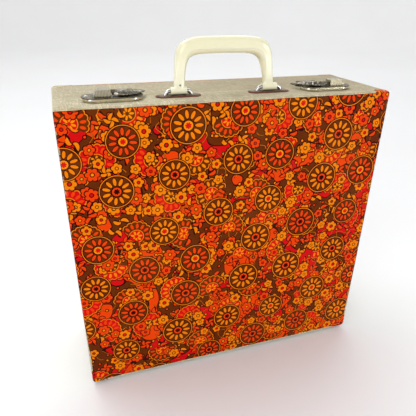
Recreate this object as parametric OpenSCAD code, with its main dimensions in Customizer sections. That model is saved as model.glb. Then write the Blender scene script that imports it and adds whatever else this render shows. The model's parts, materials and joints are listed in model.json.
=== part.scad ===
// Record carrying case for 12 inch long-playing records.
// A clamshell box of thin boards, split behind its locks and hinged along the bottom.
// +X runs to the right seen from the front, +Y to the back, +Z up from the floor.
// The origin is on the floor under the middle of the case.

/* [Case] */
// Width over the covering
case_w = 350; // [330:1:400]
// Height over the covering, without feet and handle
case_h = 327; // [325:1:380]
// Depth over the covering, front face to back face
case_d = 112.5; // [105:0.5:160]
// Depth of the front section, from the front face to the split
front_d = 43; // [42:0.5:48]
// Radius of the outline's corners
corner_r = 4; // [2:0.5:8]
// Gap between the two rims when the case is shut
split_gap = 0.3; // [0.2:0.1:1]

/* [Boards and coverings] */
// Thickness of the frame boards
frame_t = 3.5; // [3:0.1:5]
// Thickness of the front and back panels
panel_t = 3; // [2:0.1:5]
// Thickness of the printed paper and of the bookcloth
cover_t = 0.5; // [0.3:0.1:0.8]
// How far the print is folded over the panel's edge
print_fold = 2; // [1:0.1:4]
// Length of the print's folded corner tabs
tab_l = 18; // [10:1:30]
// Depth of the print's folded corner tabs
tab_d = 9; // [5:0.5:12]
// Thickness of the folded corner tabs
tab_t = 0.3; // [0.2:0.1:0.5]
// Thickness of the paper lining
lining_t = 0.4; // [0.3:0.1:0.8]
// Thickness of the locating strips inside the rim
lip_t = 1.2; // [0.8:0.1:2]
// How far the locating strips reach into the front section
lip_reach = 5; // [3:0.5:8]
// How far the locating strips lie in the rear section
lip_hold = 10; // [6:1:12]

/* [Feet] */
// Height of the feet
foot_h = 4.2; // [4:0.1:6]
// Radius of a foot where it meets the case
foot_r = 6; // [4:0.5:9]
// Radius of a foot's flat underside
foot_flat_r = 3.4; // [2:0.1:3.8]
// Foot centre to the nearest side of the case
foot_inset = 9; // [8:1:30]
// Radius of the foot's shank
foot_shank_r = 1.2; // [0.8:0.1:2]

/* [Bottom hinges] */
// Distance of a hinge's middle from the side of the case
hinge_from_side = 65; // [50:1:115]
// Width of a hinge along the split
hinge_w = 36; // [24:1:50]
// Reach of a hinge leaf from the pin
hinge_leaf_d = 14; // [11:0.5:20]
// Thickness of a hinge leaf
hinge_leaf_t = 1; // [0.8:0.1:1.2]
// Radius of the hinge knuckles
hinge_knuckle_r = 1.7; // [1.5:0.05:1.75]
// Radius of the hinge pins
hinge_pin_r = 0.8; // [0.5:0.05:1]
// Pin axis below the bottom of the case
hinge_drop = 2.3; // [2.2:0.05:2.4]

/* [Rivets and fits] */
// Radius of the rivet shanks
rivet_r = 1.2; // [0.8:0.1:1.5]
// Radius of the rivet heads
rivet_head_r = 2.2; // [1.8:0.1:2.6]
// Height of a domed rivet head
rivet_head_h = 1.2; // [0.6:0.1:1.6]
// Height of a flat rivet head
rivet_flat_h = 0.3; // [0.2:0.05:0.4]
// Room round a shank in its hole
hole_clear = 0.1; // [0.05:0.05:0.2]
// Running clearance of a pin in its knuckles, on the radius
pin_clear = 0.05; // [0.02:0.01:0.08]
// How far a pin's head stands out round the pin
pin_head_lip = 0.4; // [0.3:0.05:0.5]
// Height of a pin's head
pin_head_h = 0.5; // [0.3:0.1:0.8]
// Gap between neighbouring knuckles
knuckle_gap = 0.3; // [0.2:0.05:0.6]
// Running clearance of the handle's barrels on their wires, on the radius
barrel_clear = 0.06; // [0.03:0.01:0.1]
// Gap between a barrel's end and the bends of its wire
barrel_side_gap = 0.4; // [0.2:0.1:1]

/* [Handle] */
// Middle of the hardware from the middle of the case
hardware_x = -6.5; // [-15:0.5:15]
// Handle axis from the front face
handle_from_front = 28; // [24:0.5:30]
// Height of the handle axis above the case
handle_axis_h = 5.4; // [5.3:0.1:8]
// Distance between the middles of the two barrels
barrel_span = 98; // [90:1:110]
// Length of a barrel
barrel_l = 16; // [14:0.5:18]
// Outer radius of a barrel
barrel_r = 3.7; // [3.5:0.1:3.8]
// How far the handle's outer edge stands outside a barrel's middle
handle_foot_out = 4.5; // [3:0.5:7.5]
// How much narrower, on each side, the handle is at the top
handle_lean = 3.5; // [0:0.5:8]
// Length from the handle's axis to its top
handle_rise = 49.7; // [45:0.1:70]
// How much further from the axis the handle's top is in its middle than at its corners
handle_crown = 1.4; // [0:0.1:4]
// How far the handle leans back where its tight barrels hold it
handle_tilt = 10; // [0:1:20]
// Width of a leg at the barrel
leg_w = 10.5; // [9:0.5:14]
// Height of the grip in its middle
grip_h = 16.3; // [14:0.1:22]
// Depth of the grip
grip_d = 19; // [16:0.5:24]
// Depth of a leg at the barrel
leg_d = 6.6; // [5:0.1:7]
// Radius of the wire of a handle loop
loop_r = 2; // [1.5:0.1:2.4]
// Radius of the bends of a handle loop
loop_bend_r = 5; // [4.5:0.1:6]
// Length of a fibre washer
washer_l = 46; // [40:1:52]
// Width of a fibre washer
washer_w = 15; // [12:0.5:18]
// Thickness of a fibre washer
washer_t = 1; // [0.5:0.1:1]
// Width of the washer's rim left round the handle plate
washer_rim = 2; // [1:0.1:4]
// Thickness of a handle plate
handle_plate_t = 0.6; // [0.4:0.1:0.6]
// Thickness of a backing plate inside the case
backing_t = 0.8; // [0.5:0.1:1.2]
// How far a backing plate reaches past its loop's wires
backing_end = 6; // [4:0.5:10]
// Width of a backing plate
backing_w = 10; // [8:0.5:14]
// How far the head of a loop's wire stands out round the wire
loop_head_lip = 1; // [0.6:0.1:1.5]
// Height of the head of a loop's wire
loop_head_h = 0.6; // [0.4:0.1:0.8]

/* [Latch bases] */
// Middle between the two latches from the middle of the case
latches_x = -5.5; // [-10:0.5:10]
// Distance of a latch's middle from the side of the case, before that offset
latch_from_side = 60.5; // [49:0.5:67]
// Middle of the latches from the front face
latch_from_front = 26.75; // [24:0.25:27]
// Length of the top plate
latch_l = 58; // [56:0.5:64]
// Width of the top plate
latch_w = 25.5; // [24:0.5:27]
// Thickness of the top plate
latch_t = 1; // [0.8:0.1:1.5]
// How far the top plate stands out past the pan
latch_overhang = 1; // [0.5:0.1:1.5]
// Height of the pan
pan_h = 3.3; // [3.2:0.1:4.5]
// Wall of the pan
pan_t = 0.7; // [0.5:0.1:0.9]
// Latch rivets from the middle of the plate
latch_rivet_x = 24.5; // [24.5:0.1:25.5]

/* [Latch slides] */
// Travel of the slide
slide_travel = 4; // [3:0.5:4]
// Length of the slide's block
block_l = 16; // [13:0.5:16]
// Depth of the slide's block
block_d = 10; // [8:0.5:12]
// Height of the slide's block
block_h = 6.3; // [4:0.1:8]
// Outward slope of the block's outer side
block_slope = 2.6; // [0:0.1:3]
// Block's inner side outwards from the latch's middle
block_from_mid = 2; // [1.5:0.25:2.5]
// Block's back behind the latch's middle
block_back = 2; // [0:0.5:4]
// Bevel along the block's top edges
block_bevel = 0.6; // [0.3:0.1:1]
// Length of the stem under the block
stem_l = 4; // [3:0.5:5]
// Stem's inner side outwards from the block's inner side
stem_inset = 3; // [2:0.5:4]
// Gap round the stem in its slot and under the bolt
stem_gap = 0.3; // [0.2:0.05:0.4]
// How far the bolt's tail reaches outwards past the stem
bolt_tail = 2.5; // [2:0.5:3]
// Gap under the block
block_gap = 0.15; // [0.1:0.05:0.3]
// Width of the bolt
bolt_w = 3; // [2:0.1:3.4]
// Thickness of the bolt
bolt_t = 1.9; // [1.2:0.1:1.9]
// Gap of the bolt to the hasp's tongue and of the tongue in its notch
catch_gap = 0.4; // [0.3:0.1:0.6]
// Wire radius of the return spring
spring_wire_r = 0.22; // [0.15:0.01:0.25]
// Middle radius of the return spring's coils
spring_r = 0.9; // [0.7:0.05:0.95]
// Turns of the return spring
spring_turns = 11; // [6:1:12]

/* [Hasps] */
// Hasp axis behind the split
hasp_back = 6; // [5:0.25:9]
// Radius of the hasp's knuckles
hasp_knuckle_r = 2.5; // [2.2:0.1:2.6]
// Radius of the hasp's pin
hasp_pin_r = 0.9; // [0.6:0.05:1.1]
// Hasp's tongue inwards from the latch's middle
tongue_from_mid = 7; // [6:0.25:8]
// How far the strap's middle lies inwards of the tongue's middle
strap_shift = 1.5; // [0:0.25:2]
// Width of the hasp's strap
strap_w = 11.4; // [10.5:0.2:12]
// Thickness of the hasp's strap
strap_t = 0.9; // [0.7:0.1:1.2]
// Gap between the hasp and the top plate
hasp_gap = 0.5; // [0.4:0.05:0.8]
// Reach of the hasp's ornamental leaf towards the middle of the case
frond_reach = 33; // [28:0.5:35]
// How far back the tip of the ornamental leaf lies from the latch's middle
frond_back = 16; // [8:0.5:17]
// How far the ornamental leaf droops at its tip, past the plate
frond_droop = 1.8; // [0:0.1:2.4]
// Half the width of the ornamental leaf
frond_w = 5.2; // [4:0.1:5.6]
// Height of the ornamental leaf's ridge
frond_h = 3.8; // [2.5:0.1:5]
// Thickness of the ornamental leaf's edge
frond_edge = 0.8; // [0.5:0.1:1.2]
// Gap between the curl and the slide's block
curl_gap = 0.6; // [0.3:0.1:1.5]
// How far the strap reaches forwards of the tongue
strap_lap = 1; // [0.5:0.1:3]
// Outer radius of the curl at the ornamental leaf's root, to the middle of its bar
curl_r = 3.2; // [2.8:0.1:3.6]
// Half the width of the curl's bar
curl_bar_w = 1; // [0.6:0.05:1.05]
// Height of the curl in its eye
curl_h = 3.4; // [2:0.1:4]
// Length of a hasp knuckle on the rear leaf
leaf_knuckle_l = 5; // [4:0.25:6]
// Reach of the rear leaf behind the pin
leaf_d = 14; // [11:0.5:18]
// Width of the hasp's tongue
tongue_w = 5; // [4:0.5:6]
// Thickness of the hasp's tongue
tongue_t = 1.2; // [0.8:0.1:1.4]

/* [Hidden] */
$fn = 48;

LEFT = -1;
RIGHT = 1;
SIDES = [LEFT, RIGHT];

// Planes of the case
front_y = -case_d / 2;
back_y = case_d / 2;
split_y = front_y + front_d;
bottom_z = foot_h;
top_z = foot_h + case_h;
inner_inset = cover_t + frame_t;
wall_t = inner_inset + lining_t;
cut = 1;

// The two sections: [outer face, direction inwards along Y]
FRONT = [front_y, 1];
REAR = [back_y, -1];
function rim_y(section) = split_y - section[1] * split_gap / 2;

foot_y_front = front_y + foot_inset;
foot_y_rear = back_y - foot_inset;
foot_x = case_w / 2 - foot_inset;
foot_ball_z = (foot_r * foot_r - foot_flat_r * foot_flat_r + foot_h * foot_h) / (2 * foot_h);
foot_ball_r = norm([foot_flat_r, foot_ball_z]);

hinge_x = case_w / 2 - hinge_from_side;
hinge_z = bottom_z - hinge_drop;
hinge_bore_r = hinge_pin_r + pin_clear;
hinge_middle_l = hinge_w / 3;
hinge_root = hinge_knuckle_r + knuckle_gap;
hinge_rivet_x = hinge_w / 3;
hinge_rivet_y = (hinge_root + hinge_leaf_d) / 2;
rivet_hole_r = rivet_r + hole_clear;

handle_y = front_y + handle_from_front;
handle_foot_x = barrel_span / 2 + handle_foot_out;
loop_x = barrel_l / 2 + barrel_side_gap + loop_bend_r;
barrel_bore_r = loop_r + barrel_clear;
loop_hole_r = loop_r + hole_clear;
loop_head_r = loop_r + loop_head_lip;
backing_l = 2 * (loop_x + backing_end);

latch_x = case_w / 2 - latch_from_side;
latch_y = front_y + latch_from_front;
plate_h = pan_h + latch_t;
pan_l = latch_l - 2 * latch_overhang;
pan_w = latch_w - 2 * latch_overhang;

// The slide: u runs to the middle of the case, v to the back, h up from the case
block_u1 = -block_from_mid;
block_u0 = block_u1 - block_l;
block_v1 = block_back;
block_v0 = block_v1 - block_d;
block_h0 = plate_h + block_gap;
stem_u1 = block_u1 - stem_inset;
stem_u0 = stem_u1 - stem_l;
bolt_u0 = stem_u0 - bolt_tail;
bolt_h0 = pan_t + stem_gap;
tongue_u0 = tongue_from_mid;
tongue_v1 = -bolt_w / 2 - catch_gap;
tongue_v0 = tongue_v1 - tongue_t;
tongue_h0 = pan_t + stem_gap * 2;
spring_u0 = -latch_rivet_x + rivet_r + hole_clear;
spring_u1 = bolt_u0 - hole_clear;
spring_h = bolt_h0 + bolt_t / 2;

strap_h0 = plate_h + hasp_gap;
strap_h1 = strap_h0 + strap_t;
hasp_h = strap_h1 - hasp_knuckle_r;
hasp_v = split_y + hasp_back - latch_y;
hasp_bore_r = hasp_pin_r + pin_clear;
strap_u0 = tongue_u0 + (tongue_w - strap_w) / 2 + strap_shift;
strap_u1 = strap_u0 + strap_w;
leaf_u0 = strap_u0 - knuckle_gap - leaf_knuckle_l;
leaf_u1 = strap_u1 + knuckle_gap + leaf_knuckle_l;
leaf_t = hasp_h - hasp_knuckle_r + 0.1;
strap_v0 = tongue_v0 - strap_lap;
curl_mid = [block_u1 + curl_gap + curl_r + curl_bar_w, tongue_v0];
leaf_rivet_v = hasp_v + (hasp_knuckle_r + leaf_d) / 2 + 0.5;

// ---------- shapes ----------

// A rectangle about the origin with exact round corners
module rounded_rect(w, h, r) {
    square([w - 2 * r, h], center = true);
    square([w, h - 2 * r], center = true);
    for (x = [-1, 1], y = [-1, 1])
        translate([x * (w / 2 - r), y * (h / 2 - r)])
            circle(r);
}

// A flat oval with round ends
module stadium(l, w) {
    square([l - w, w], center = true);
    for (side = SIDES)
        translate([side * (l - w) / 2, 0])
            circle(w / 2);
}

// Extrudes a drawing of the XZ plane from one Y to another
module along_y(y0, y1) {
    translate([0, max(y0, y1), 0])
        rotate([90, 0, 0])
            linear_extrude(abs(y1 - y0))
                children();
}

// The case's outline seen from the front, inset from the covering
module outline(inset) {
    translate([0, bottom_z + case_h / 2])
        rounded_rect(case_w - 2 * inset, case_h - 2 * inset, max(corner_r - inset, 0.2));
}

// The square-cornered inside of the frame, inset from the covering
module opening(inset) {
    translate([0, bottom_z + case_h / 2])
        square([case_w - 2 * inset, case_h - 2 * inset], center = true);
}

// A cylinder along X, centred
module rod_x(r, l) {
    rotate([0, 90, 0])
        cylinder(r = r, h = l, center = true);
}

// A domed cap standing on Z = 0
module dome(r, h) {
    big_r = (r * r + h * h) / (2 * h);
    intersection() {
        translate([0, 0, h - big_r])
            sphere(big_r);
        cylinder(r = r + cut, h = h + cut);
    }
}

// Places a latch piece: u to the middle of the case, v to the back, h up from the top face
module at_latch(side) {
    translate([latches_x + side * latch_x, latch_y, top_z])
        mirror([side > 0 ? 1 : 0, 0, 0])
            children();
}

module at_barrel(side) {
    translate([hardware_x + side * barrel_span / 2, handle_y, top_z])
        children();
}

// Places children at the four or two hinge rivets of one section; towards is +1 to the back
module at_hinge_rivets(towards) {
    for (side = SIDES, x = [-hinge_rivet_x, hinge_rivet_x])
        translate([side * hinge_x + x, split_y + towards * hinge_rivet_y, bottom_z])
            children();
}

module at_feet(y) {
    for (side = SIDES)
        translate([side * foot_x, y, 0])
            children();
}

// ---------- holes through the boards, shared by everything they pass ----------

module bottom_holes(towards, foot_y) {
    at_hinge_rivets(towards)
        translate([0, 0, -cut])
            cylinder(r = rivet_hole_r, h = wall_t + 2 * cut);
    at_feet(foot_y)
        translate([0, 0, bottom_z - cut])
            cylinder(r = foot_shank_r + hole_clear, h = cut + inner_inset);
}

module top_bore(r) {
    translate([0, 0, -wall_t - cut])
        cylinder(r = r, h = wall_t + 2 * cut);
}

module front_top_holes() {
    for (side = SIDES) {
        at_latch(side)
            for (u = [-latch_rivet_x, latch_rivet_x])
                translate([u, 0, 0])
                    top_bore(rivet_hole_r);
        at_barrel(side)
            for (x = [-loop_x, loop_x])
                translate([x, 0, 0])
                    top_bore(loop_hole_r);
    }
}

module rear_top_holes() {
    for (side = SIDES)
        at_latch(side)
            at_leaf_rivets()
                top_bore(rivet_hole_r);
}

module at_leaf_rivets() {
    for (u = [leaf_u0 + leaf_knuckle_l, leaf_u1 - leaf_knuckle_l])
        translate([u, leaf_rivet_v, 0])
            children();
}

// ---------- the two sections ----------

// Four boards: top and bottom run the full width, the sides stand between them
module frame(section) {
    y0 = section[0] + section[1] * (cover_t + panel_t);
    y1 = rim_y(section) - section[1] * cover_t;
    for (z = [bottom_z, top_z - inner_inset])
        along_y(y0, y1)
            intersection() {
                outline(cover_t);
                translate([-case_w / 2, z])
                    square([case_w, inner_inset]);
            }
    for (side = SIDES)
        along_y(y0, y1)
            translate([side * (case_w / 2 - cover_t - frame_t / 2), bottom_z + case_h / 2])
                square([frame_t, case_h - 2 * inner_inset], center = true);
}

module panel(section) {
    along_y(section[0] + section[1] * cover_t, section[0] + section[1] * (cover_t + panel_t))
        outline(cover_t);
}

// A sheet over the panel, folded over its edges, with tabs folded down at the corners
module print(section) {
    difference() {
        along_y(section[0], section[0] + section[1] * print_fold)
            outline(0);
        along_y(section[0] + section[1] * cover_t, section[0] + section[1] * (print_fold + cut))
            outline(cover_t);
    }
    difference() {
        for (side = SIDES, end = [-1, 1])
            corner_tab(section, side, end);
        at_feet(section[0] + section[1] * foot_inset)
            cylinder(r = foot_r + hole_clear, h = foot_h);
    }
}

module corner_tab(section, side, end) {
    x1 = case_w / 2 - corner_r;
    y_in = section[1] * tab_d;
    z0 = end > 0 ? top_z : bottom_z - tab_t;
    z_root = end > 0 ? top_z - cover_t / 2 : bottom_z - tab_t / 2;
    mirror([side > 0 ? 0 : 1, 0, 0]) {
        translate([0, section[0], z0])
            linear_extrude(tab_t)
                polygon([[x1, 0], [x1, y_in], [x1 - tab_l + tab_d, y_in], [x1 - tab_l, 0]]);
        translate([x1 - tab_l + tab_d, min(section[0], section[0] + section[1] * print_fold), z_root])
            cube([tab_l - tab_d, print_fold, (cover_t + tab_t) / 2]);
    }
}

// A band round the frame, turned over the rim
module cloth(section) {
    y_rim = rim_y(section);
    y_board = y_rim - section[1] * cover_t;
    difference() {
        along_y(section[0] + section[1] * print_fold, y_rim)
            outline(0);
        along_y(section[0], y_board)
            outline(cover_t);
        along_y(section[0], y_rim + section[1] * cut)
            opening(inner_inset);
    }
}

// A paper tray inside the boards, from the panel to y_end
module lining(section, y_end) {
    y0 = section[0] + section[1] * (cover_t + panel_t);
    difference() {
        along_y(y0, y_end)
            opening(inner_inset);
        along_y(y0 + section[1] * lining_t, y_end + section[1] * cut)
            opening(wall_t);
    }
}

module foot(y) {
    at_feet(y) {
        intersection() {
            translate([0, 0, foot_ball_z])
                sphere(foot_ball_r);
            cylinder(r = foot_r + cut, h = foot_h);
        }
        translate([0, 0, foot_h - cut])
            cylinder(r = foot_shank_r, h = cut + inner_inset - hole_clear);
    }
}

// ---------- bottom hinges ----------

module hinge_leaf(side, towards, knuckles) {
    translate([side * hinge_x, split_y, hinge_z])
        difference() {
            union() {
                translate([-hinge_w / 2, towards > 0 ? hinge_root : -hinge_leaf_d, hinge_drop - hinge_leaf_t])
                    cube([hinge_w, hinge_leaf_d - hinge_root, hinge_leaf_t]);
                for (k = knuckles)
                    translate([k[0], 0, 0]) {
                        rod_x(hinge_knuckle_r, k[1]);
                        translate([-k[1] / 2, towards > 0 ? 0 : -hinge_root - cut, hinge_drop - hinge_leaf_t])
                            cube([k[1], hinge_root + cut, hinge_leaf_t]);
                    }
            }
            rod_x(hinge_bore_r, hinge_w + 2 * cut);
            for (x = [-hinge_rivet_x, hinge_rivet_x])
                translate([x, towards * hinge_rivet_y, 0])
                    cylinder(r = rivet_hole_r, h = hinge_drop + cut);
        }
}

hinge_end_l = (hinge_w - hinge_middle_l) / 2 - knuckle_gap;
hinge_end_x = (hinge_w - hinge_end_l) / 2;

module rear_hinge_leaves() {
    color("#9a9688")
        for (side = SIDES)
            hinge_leaf(side, 1, [[-hinge_end_x, hinge_end_l], [hinge_end_x, hinge_end_l]]);
}

module front_hinge_leaves() {
    color("#9a9688")
        for (side = SIDES)
            hinge_leaf(side, -1, [[0, hinge_middle_l]]);
}

module hinge_pins() {
    color("#b0aca0")
        for (side = SIDES)
            translate([side * hinge_x, split_y, hinge_z]) {
                rod_x(hinge_pin_r, hinge_w + 2 * hole_clear);
                for (end = SIDES)
                    translate([end * (hinge_w / 2 + hole_clear + pin_head_h / 2), 0, 0])
                        rod_x(hinge_pin_r + pin_head_lip, pin_head_h);
            }
}

// A flat-headed rivet under the leaf, clenched inside
module hinge_rivets(towards) {
    color("#a8a496")
        at_hinge_rivets(towards) {
            translate([0, 0, -hinge_leaf_t - rivet_flat_h])
                cylinder(r = rivet_head_r, h = rivet_flat_h);
            translate([0, 0, -hinge_leaf_t - rivet_flat_h / 2])
                cylinder(r = rivet_r, h = hinge_leaf_t + wall_t + rivet_flat_h);
            translate([0, 0, wall_t])
                cylinder(r = rivet_head_r, h = rivet_flat_h);
        }
}

// ---------- handle ----------

// Points of the handle's outer and inner edge above its axis, by angle from the right barrel
handle_steps = 16;
outer_power = 6;
inner_power = 7.5;
section_power = 3;
section_sides = 24;

function signed_power(v, p) = sign(v) * pow(abs(v), p);
function eased_angle(i) = let (half = i <= handle_steps ? i : 2 * handle_steps - i,
                               a = 45 * (1 - cos(180 * half / handle_steps)))
    i <= handle_steps ? a : 180 - a;
function edge_point(angle, foot_x, rise, power) =
    let (z = pow(max(sin(angle), 0), 2 / power),
         x = signed_power(cos(angle), 2 / power) * (foot_x - handle_lean * z))
        [x, z * (rise - handle_crown * pow(x / foot_x, 2))];
function smooth(t) = t * t * (3 - 2 * t);
function handle_ring(i) =
    let (angle = eased_angle(i),
         outer = edge_point(angle, handle_foot_x, handle_rise, outer_power),
         inner = edge_point(angle, handle_foot_x - leg_w, handle_rise - grip_h, inner_power),
         middle = (outer + inner) / 2,
         half = (outer - inner) / 2,
         depth = leg_d + (grip_d - leg_d) * smooth(min(1, middle[1] / (handle_rise - grip_h / 2))))
        [for (k = [0 : section_sides - 1])
            let (a = 360 * k / section_sides,
                 across = signed_power(cos(a), 2 / section_power),
                 deep = signed_power(sin(a), 2 / section_power))
                [middle[0] + half[0] * across, deep * depth / 2, middle[1] + half[1] * across]];

module handle_arch() {
    rings = 2 * handle_steps + 1;
    points = [for (i = [0 : rings - 1]) each handle_ring(i)];
    sides = [for (i = [0 : rings - 2], k = [0 : section_sides - 1])
        let (a = i * section_sides + k,
             b = i * section_sides + (k + 1) % section_sides)
            each [[a, a + section_sides, b + section_sides], [a, b + section_sides, b]]];
    first = [for (k = [1 : section_sides - 2]) [0, k, k + 1]];
    last_0 = (rings - 1) * section_sides;
    last = [for (k = [1 : section_sides - 2]) [last_0, last_0 + k + 1, last_0 + k]];
    polyhedron(points = points, faces = concat(sides, first, last), convexity = 4);
}

module handle() {
    color("#e8e2c4")
        translate([hardware_x, handle_y, top_z + handle_axis_h])
            difference() {
                union() {
                    rotate([-handle_tilt, 0, 0])
                        handle_arch();
                    for (side = SIDES)
                        translate([side * barrel_span / 2, 0, 0])
                            rod_x(barrel_r, barrel_l);
                }
                for (side = SIDES)
                    translate([side * barrel_span / 2, 0, 0])
                        rod_x(barrel_bore_r, barrel_l + 2 * cut);
            }
}

// A wire loop: straight through the barrel, bent down at both sides, headed inside the case
module handle_loop(side) {
    foot_h0 = -wall_t - backing_t - loop_head_h;
    bend_h = handle_axis_h - loop_bend_r;
    color("#d0d0cc")
        at_barrel(side) {
            translate([0, 0, handle_axis_h])
                rod_x(loop_r, 2 * (loop_x - loop_bend_r));
            for (end = SIDES) {
                translate([end * (loop_x - loop_bend_r), 0, bend_h])
                    mirror([end > 0 ? 0 : 1, 0, 0])
                        rotate([90, 0, 0])
                            rotate_extrude(angle = 90)
                                translate([loop_bend_r, 0])
                                    circle(loop_r);
                translate([end * loop_x, 0, foot_h0])
                    cylinder(r = loop_r, h = bend_h - foot_h0);
                translate([end * loop_x, 0, foot_h0])
                    cylinder(r = loop_head_r, h = loop_head_h);
            }
        }
}

module loop_drill(side, h) {
    at_barrel(side)
        for (x = [-loop_x, loop_x])
            translate([x, 0, -cut])
                cylinder(r = loop_hole_r, h = h + 2 * cut);
}

module handle_washer(side) {
    color("#6b2f1c")
        difference() {
            at_barrel(side)
                linear_extrude(washer_t)
                    stadium(washer_l, washer_w);
            loop_drill(side, washer_t);
        }
}

module handle_plate(side) {
    color("#8f8b80")
        difference() {
            at_barrel(side)
                translate([0, 0, washer_t])
                    linear_extrude(handle_plate_t)
                        stadium(washer_l - 2 * washer_rim, washer_w - 2 * washer_rim);
            loop_drill(side, washer_t + handle_plate_t);
        }
}

module handle_backing_plates() {
    color("#8f8b80")
        for (side = SIDES)
            at_barrel(side)
                translate([0, 0, -wall_t - backing_t])
                    difference() {
                        linear_extrude(backing_t)
                            stadium(backing_l, backing_w);
                        for (x = [-loop_x, loop_x])
                            translate([x, 0, -cut])
                                cylinder(r = loop_hole_r, h = backing_t + 2 * cut);
                    }
}

// ---------- latches ----------

// The way of the hasp's tongue, open to the back
module tongue_way(h0, h1) {
    translate([tongue_u0 - catch_gap, tongue_v0 - catch_gap, h0])
        cube([tongue_w + 2 * catch_gap, latch_w, h1 - h0]);
}

module latch_rivet_holes(h) {
    for (u = [-latch_rivet_x, latch_rivet_x])
        translate([u, 0, -cut])
            cylinder(r = rivet_hole_r, h = h + 2 * cut);
}

module latch_pan(side) {
    color("#8d897c")
        at_latch(side)
            difference() {
                linear_extrude(pan_h)
                    stadium(pan_l, pan_w);
                translate([0, 0, pan_t])
                    linear_extrude(pan_h)
                        stadium(pan_l - 2 * pan_t, pan_w - 2 * pan_t);
                tongue_way(pan_t, pan_h + cut);
                latch_rivet_holes(pan_t);
            }
}

module latch_plate(side) {
    color("#9b978a")
        at_latch(side)
            difference() {
                translate([0, 0, pan_h])
                    linear_extrude(latch_t)
                        stadium(latch_l, latch_w);
                tongue_way(pan_h - cut, plate_h + cut);
                translate([stem_u0 - slide_travel - stem_gap, -bolt_w / 2 - stem_gap, pan_h - cut])
                    cube([stem_u1 - stem_u0 + slide_travel + 2 * stem_gap, bolt_w + 2 * stem_gap,
                        latch_t + 2 * cut]);
                latch_rivet_holes(plate_h);
            }
}

// A domed rivet at the outer end, a flat one at the inner end, both clenched inside
module latch_rivets(side) {
    color("#b5b09c")
        at_latch(side)
            for (u = [-latch_rivet_x, latch_rivet_x])
                translate([u, 0, 0]) {
                    translate([0, 0, -wall_t - rivet_flat_h / 2])
                        cylinder(r = rivet_r, h = wall_t + plate_h + rivet_flat_h);
                    translate([0, 0, -wall_t - rivet_flat_h])
                        cylinder(r = rivet_head_r, h = rivet_flat_h);
                    translate([0, 0, plate_h])
                        if (u < 0)
                            dome(rivet_head_r, rivet_head_h);
                        else
                            cylinder(r = rivet_head_r, h = rivet_flat_h);
                }
}

// A box-shaped thumb piece over the plate, its stem in the slot and its bolt in the pan
module latch_slide(side) {
    bevel = block_bevel;
    h1 = block_h0 + block_h;
    color("#a5a194")
        at_latch(side) {
            difference() {
                translate([0, block_v1, 0])
                    rotate([90, 0, 0])
                        linear_extrude(block_d)
                            polygon([[block_u0, block_h0], [block_u0 + block_slope, h1 - bevel],
                                [block_u0 + block_slope + bevel, h1], [block_u1 - bevel, h1],
                                [block_u1, h1 - bevel], [block_u1, block_h0]]);
                translate([block_u0 + block_l / 3, block_v1 - 2.2, h1 - 2])
                    cylinder(r = 0.9, h = 2 + cut);
            }
            translate([stem_u0, -bolt_w / 2, bolt_h0 + bolt_t / 2])
                cube([stem_u1 - stem_u0, bolt_w, block_h0 - bolt_h0 - bolt_t / 2 + bevel]);
            translate([bolt_u0, -bolt_w / 2, bolt_h0])
                cube([tongue_u0 - catch_gap - bolt_u0, bolt_w, bolt_t]);
        }
}

// A compression spring between the outer rivet and the end of the bolt
module latch_spring(side) {
    ring_sides = 6;
    per_turn = 8;
    steps = spring_turns * per_turn;
    lead = spring_u1 - spring_u0 - 2 * spring_wire_r;
    points = [for (i = [0 : steps])
        let (a = 360 * i / per_turn,
             u = spring_u0 + spring_wire_r + lead * i / steps)
            for (k = [0 : ring_sides - 1])
                let (b = 360 * k / ring_sides,
                     r = spring_r + spring_wire_r * cos(b))
                    [u + spring_wire_r * sin(b), r * cos(a), spring_h + r * sin(a)]];
    sides = [for (i = [0 : steps - 1], k = [0 : ring_sides - 1])
        let (a = i * ring_sides + k,
             b = i * ring_sides + (k + 1) % ring_sides)
            each [[a, b, b + ring_sides], [a, b + ring_sides, a + ring_sides]]];
    first = [for (k = [1 : ring_sides - 2]) [0, k + 1, k]];
    last_0 = steps * ring_sides;
    last = [for (k = [1 : ring_sides - 2]) [last_0, last_0 + k, last_0 + k + 1]];
    color("#c8c4b8")
        at_latch(side)
            polyhedron(points = points, faces = concat(sides, first, last), convexity = 10);
}

// ---------- hasps ----------

// The spine of the ornamental leaf: a curl of one turn, then a curve forwards and back to the tip
curl_steps = 16;
frond_curve = [curl_mid - [0, curl_r], curl_mid + [frond_reach * 0.2, -curl_r],
    [frond_reach * 0.75, -frond_w * 0.6], [frond_reach, frond_back]];
frond_teeth = 8;
// Where along the leaf its droop starts
droop_from = 0.55;
// Stations along a tooth and how far the edge stands out there
frond_saw = [[0, 0], [0.35, 0.6], [0.7, 1], [0.86, 0.3]];
frond_across = [-1, -0.82, -0.55, -0.25, 0, 0.25, 0.55, 0.82, 1];

function curl_radius(s) = curl_bar_w * 0.8 + (curl_r - curl_bar_w * 0.8) * s;
function curl_at(s) = curl_mid + curl_radius(s) * [cos(360 * s - 90), sin(360 * s - 90)];
function frond_at(t) = pow(1 - t, 3) * frond_curve[0] + 3 * pow(1 - t, 2) * t * frond_curve[1]
    + 3 * (1 - t) * t * t * frond_curve[2] + pow(t, 3) * frond_curve[3];
function frond_way(t) = pow(1 - t, 2) * (frond_curve[1] - frond_curve[0])
    + 2 * (1 - t) * t * (frond_curve[2] - frond_curve[1]) + t * t * (frond_curve[3] - frond_curve[2]);

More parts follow.
